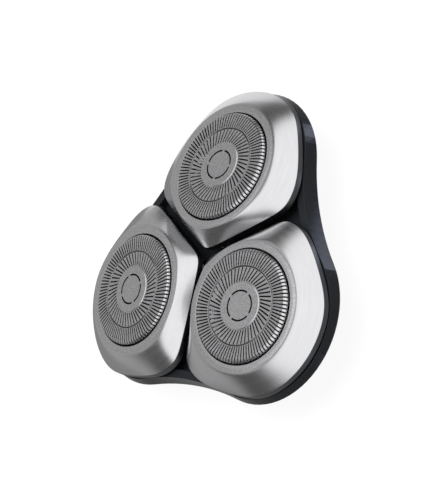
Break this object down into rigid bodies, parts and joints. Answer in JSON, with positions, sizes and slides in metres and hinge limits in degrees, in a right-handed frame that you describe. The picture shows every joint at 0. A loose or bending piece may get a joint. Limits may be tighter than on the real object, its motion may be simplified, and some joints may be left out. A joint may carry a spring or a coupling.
{
  "type": "rotary shaver head",
  "caption": "Rotary shaver head: slotted steel caps in brushed trims that tilt on a black frame, turned by a gear train behind, with a round neck for the handle.",
  "frame": {"origin": "centre of the neck's rim, on the head's axis", "axes": "+Z out of the face along the head's axis, +Y towards pod 1"},
  "size_m": [0.0592, 0.0555, 0.021],
  "materials": {
    "trim_steel": "brushed, satin",
    "cap_steel": "satin ground steel",
    "disc_steel": "satin turned steel",
    "blade_steel": "ground and polished",
    "gloss_black": "polished mould finish",
    "satin_black": "fine matte mould finish",
    "housing_black": "satin mould finish",
    "gear_plastic": "natural acetal",
    "ring_plastic": "pale grey moulded",
    "hub_plastic": "blue grey moulded",
    "plate_steel": "zinc plated sheet",
    "bush_brass": "turned",
    "seal_rubber": "matte",
    "spring_steel": "drawn wire",
    "screw_steel": "zinc plated"
  },
  "bodies": {
    "root": {"head_frame": "gloss_black", "rear_housing": "housing_black", "gear_plate": "plate_steel", "drive_bush": "bush_brass", "neck_seal": "seal_rubber", "housing_screws": "screw_steel", "pod_spring_1": "spring_steel", "pod_spring_2": "spring_steel", "pod_spring_3": "spring_steel"},
    "drive": {"drive_gear": "gear_plastic"},
    "pod_1": {"pod_trim_1": "trim_steel", "pod_carrier_1": "satin_black", "retaining_ring_1": "ring_plastic"},
    "cap_1": {"cutter_cap_1": "cap_steel", "cap_centre_1": "disc_steel"},
    "cutter_1": {"cutter_blades_1": "blade_steel", "cutter_hub_1": "hub_plastic"},
    "gear_1": {"driven_gear_1": "gear_plastic", "spindle_spring_1": "spring_steel"},
    "spindle_1": {"drive_spindle_1": "gear_plastic"},
    "pod_2": {"pod_trim_2": "trim_steel", "pod_carrier_2": "satin_black", "retaining_ring_2": "ring_plastic"},
    "cap_2": {"cutter_cap_2": "cap_steel", "cap_centre_2": "disc_steel"},
    "cutter_2": {"cutter_blades_2": "blade_steel", "cutter_hub_2": "hub_plastic"},
    "gear_2": {"driven_gear_2": "gear_plastic", "spindle_spring_2": "spring_steel"},
    "spindle_2": {"drive_spindle_2": "gear_plastic"},
    "pod_3": {"pod_trim_3": "trim_steel", "pod_carrier_3": "satin_black", "retaining_ring_3": "ring_plastic"},
    "cap_3": {"cutter_cap_3": "cap_steel", "cap_centre_3": "disc_steel"},
    "cutter_3": {"cutter_blades_3": "blade_steel", "cutter_hub_3": "hub_plastic"},
    "gear_3": {"driven_gear_3": "gear_plastic", "spindle_spring_3": "spring_steel"},
    "spindle_3": {"drive_spindle_3": "gear_plastic"}
  },
  "joints": [
    {"name": "drive_spin", "type": "hinge", "parent": "root", "child": "drive", "pos_m": [0, 0, 0], "axis": [0, 0, 1], "continuous": true},
    {"name": "pod_tilt_1", "type": "hinge", "parent": "root", "child": "pod_1", "pos_m": [0, 0.01571, 0.01561], "axis": [1, 0, 0], "range_deg": [-1.5, 4], "stiffness_Nm_per_rad": 0.02, "deforming": ["pod_spring_1"]},
    {"name": "cap_float_1", "type": "slide", "parent": "pod_1", "child": "cap_1", "axis": [0, 0.1106, 0.9939], "range_m": [-0.0008, 0], "stiffness_N_per_m": 150, "springref_m": 0.004},
    {"name": "cutter_spin_1", "type": "hinge", "parent": "cap_1", "child": "cutter_1", "pos_m": [0, 0.01571, 0.01561], "axis": [0, 0.1106, 0.9939], "continuous": true},
    {"name": "gear_spin_1", "type": "hinge", "parent": "root", "child": "gear_1", "pos_m": [0, 0.01571, 0], "axis": [0, 0, 1], "continuous": true},
    {"name": "spindle_float_1", "type": "slide", "parent": "gear_1", "child": "spindle_1", "axis": [0, 0, 1], "range_m": [-0.0008, 0], "deforming": ["spindle_spring_1"]},
    {"name": "pod_tilt_2", "type": "hinge", "parent": "root", "child": "pod_2", "pos_m": [-0.01361, -0.00786, 0.01561], "axis": [-0.5, 0.866, 0], "range_deg": [-1.5, 4], "stiffness_Nm_per_rad": 0.02, "deforming": ["pod_spring_2"]},
    {"name": "cap_float_2", "type": "slide", "parent": "pod_2", "child": "cap_2", "axis": [-0.0958, -0.0553, 0.9939], "range_m": [-0.0008, 0], "stiffness_N_per_m": 150, "springref_m": 0.004},
    {"name": "cutter_spin_2", "type": "hinge", "parent": "cap_2", "child": "cutter_2", "pos_m": [-0.01361, -0.00786, 0.01561], "axis": [-0.0958, -0.0553, 0.9939], "continuous": true},
    {"name": "gear_spin_2", "type": "hinge", "parent": "root", "child": "gear_2", "pos_m": [-0.01361, -0.00786, 0], "axis": [0, 0, 1], "continuous": true},
    {"name": "spindle_float_2", "type": "slide", "parent": "gear_2", "child": "spindle_2", "axis": [0, 0, 1], "range_m": [-0.0008, 0], "deforming": ["spindle_spring_2"]},
    {"name": "pod_tilt_3", "type": "hinge", "parent": "root", "child": "pod_3", "pos_m": [0.01361, -0.00786, 0.01561], "axis": [-0.5, -0.866, 0], "range_deg": [-1.5, 4], "stiffness_Nm_per_rad": 0.02, "deforming": ["pod_spring_3"]},
    {"name": "cap_float_3", "type": "slide", "parent": "pod_3", "child": "cap_3", "axis": [0.0958, -0.0553, 0.9939], "range_m": [-0.0008, 0], "stiffness_N_per_m": 150, "springref_m": 0.004},
    {"name": "cutter_spin_3", "type": "hinge", "parent": "cap_3", "child": "cutter_3", "pos_m": [0.01361, -0.00786, 0.01561], "axis": [0.0958, -0.0553, 0.9939], "continuous": true},
    {"name": "gear_spin_3", "type": "hinge", "parent": "root", "child": "gear_3", "pos_m": [0.01361, -0.00786, 0], "axis": [0, 0, 1], "continuous": true},
    {"name": "spindle_float_3", "type": "slide", "parent": "gear_3", "child": "spindle_3", "axis": [0, 0, 1], "range_m": [-0.0008, 0], "deforming": ["spindle_spring_3"]}
  ],
  "couplings": [
    {"joint": "gear_spin_1", "follows": "drive_spin", "ratio": -0.75},
    {"joint": "cutter_spin_1", "follows": "drive_spin", "ratio": -0.75},
    {"joint": "spindle_float_1", "follows": "cap_float_1", "ratio": 1},
    {"joint": "gear_spin_2", "follows": "drive_spin", "ratio": -0.75},
    {"joint": "cutter_spin_2", "follows": "drive_spin", "ratio": -0.75},
    {"joint": "spindle_float_2", "follows": "cap_float_2", "ratio": 1},
    {"joint": "gear_spin_3", "follows": "drive_spin", "ratio": -0.75},
    {"joint": "cutter_spin_3", "follows": "drive_spin", "ratio": -0.75},
    {"joint": "spindle_float_3", "follows": "cap_float_3", "ratio": 1}
  ]
}
